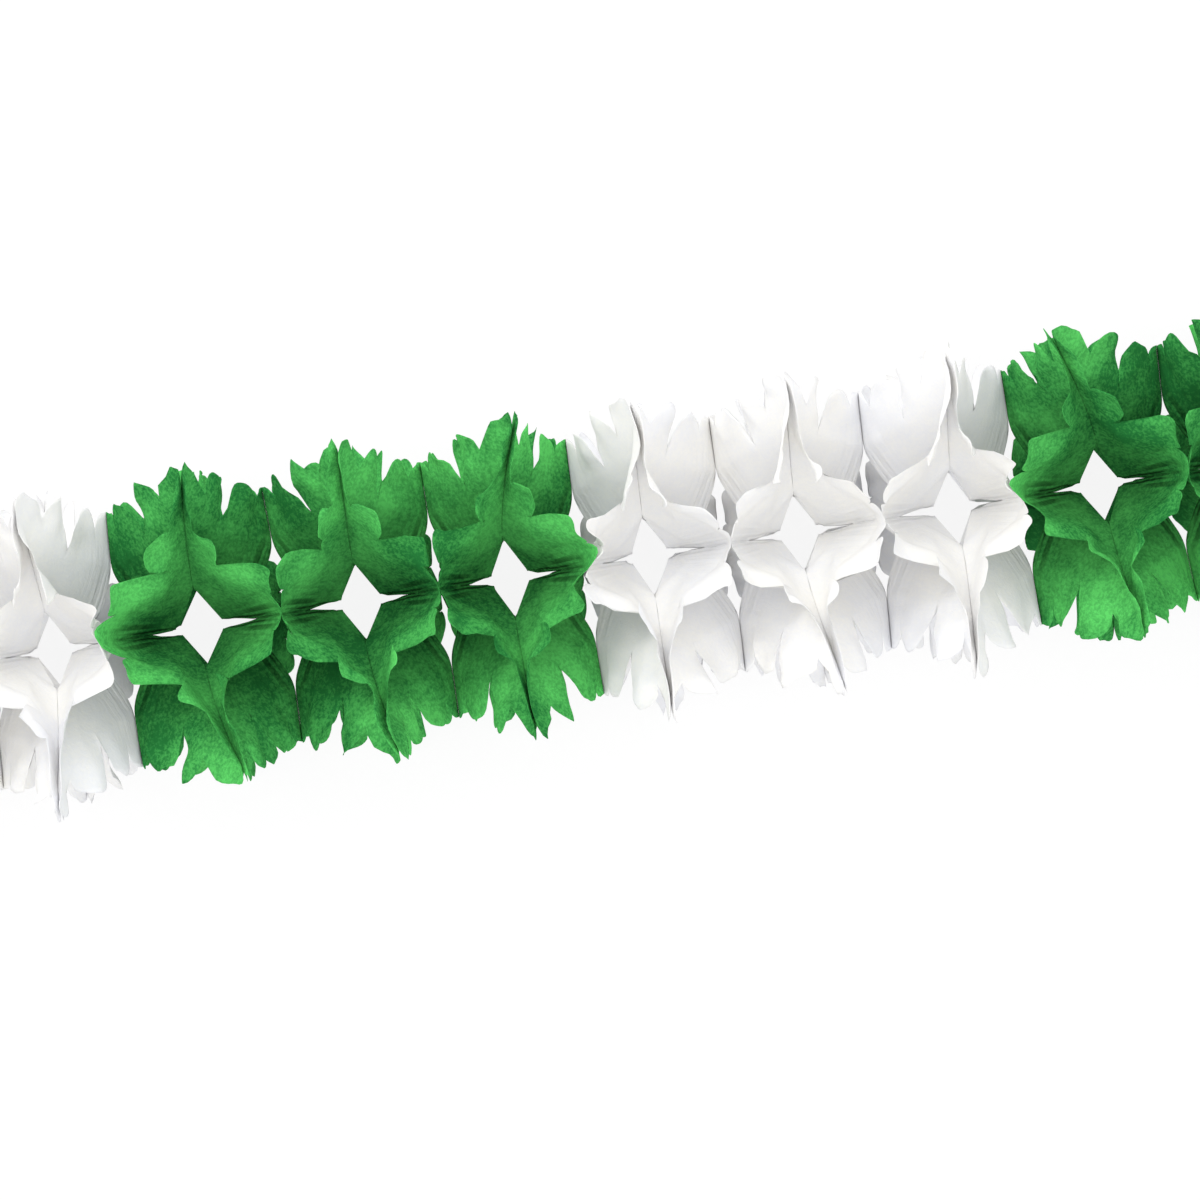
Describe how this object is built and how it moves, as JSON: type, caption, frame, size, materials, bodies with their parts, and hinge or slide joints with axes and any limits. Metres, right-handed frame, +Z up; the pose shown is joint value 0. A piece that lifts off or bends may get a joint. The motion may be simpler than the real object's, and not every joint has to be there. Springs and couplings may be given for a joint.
{
  "type": "tissue paper garland",
  "caption": "Stretched tissue paper garland: scalloped white and green sheets glued in turn along their diagonals and mid-lines, with a plain card with a hanging hole at each end.",
  "frame": {"origin": "middle of the box that the drawn-out garland fills, on the surface that it lies on", "axes": "+X along the garland, from the white end to the green end; +Y across it; +Z up, away from the surface it lies on"},
  "size_m": [1.358, 0.2394, 0.2393],
  "materials": {
    "white_tissue": "matt",
    "green_tissue": "matt",
    "end_card": "matt"
  },
  "bodies": {
    "root": {"sheet_01_white": "white_tissue", "sheet_02_white": "white_tissue", "sheet_03_white": "white_tissue", "sheet_04_white": "white_tissue", "sheet_05_white": "white_tissue", "sheet_06_white": "white_tissue", "sheet_07_green": "green_tissue", "sheet_08_green": "green_tissue", "sheet_09_green": "green_tissue", "sheet_10_green": "green_tissue", "sheet_11_green": "green_tissue", "sheet_12_green": "green_tissue", "sheet_13_white": "white_tissue", "sheet_14_white": "white_tissue", "sheet_15_white": "white_tissue", "sheet_16_white": "white_tissue", "sheet_17_white": "white_tissue", "sheet_18_white": "white_tissue", "sheet_19_green": "green_tissue", "sheet_20_green": "green_tissue", "sheet_21_green": "green_tissue", "sheet_22_green": "green_tissue", "sheet_23_green": "green_tissue", "sheet_24_green": "green_tissue", "end_card_left": "end_card", "end_card_right": "end_card"}
  },
  "joints": []
}
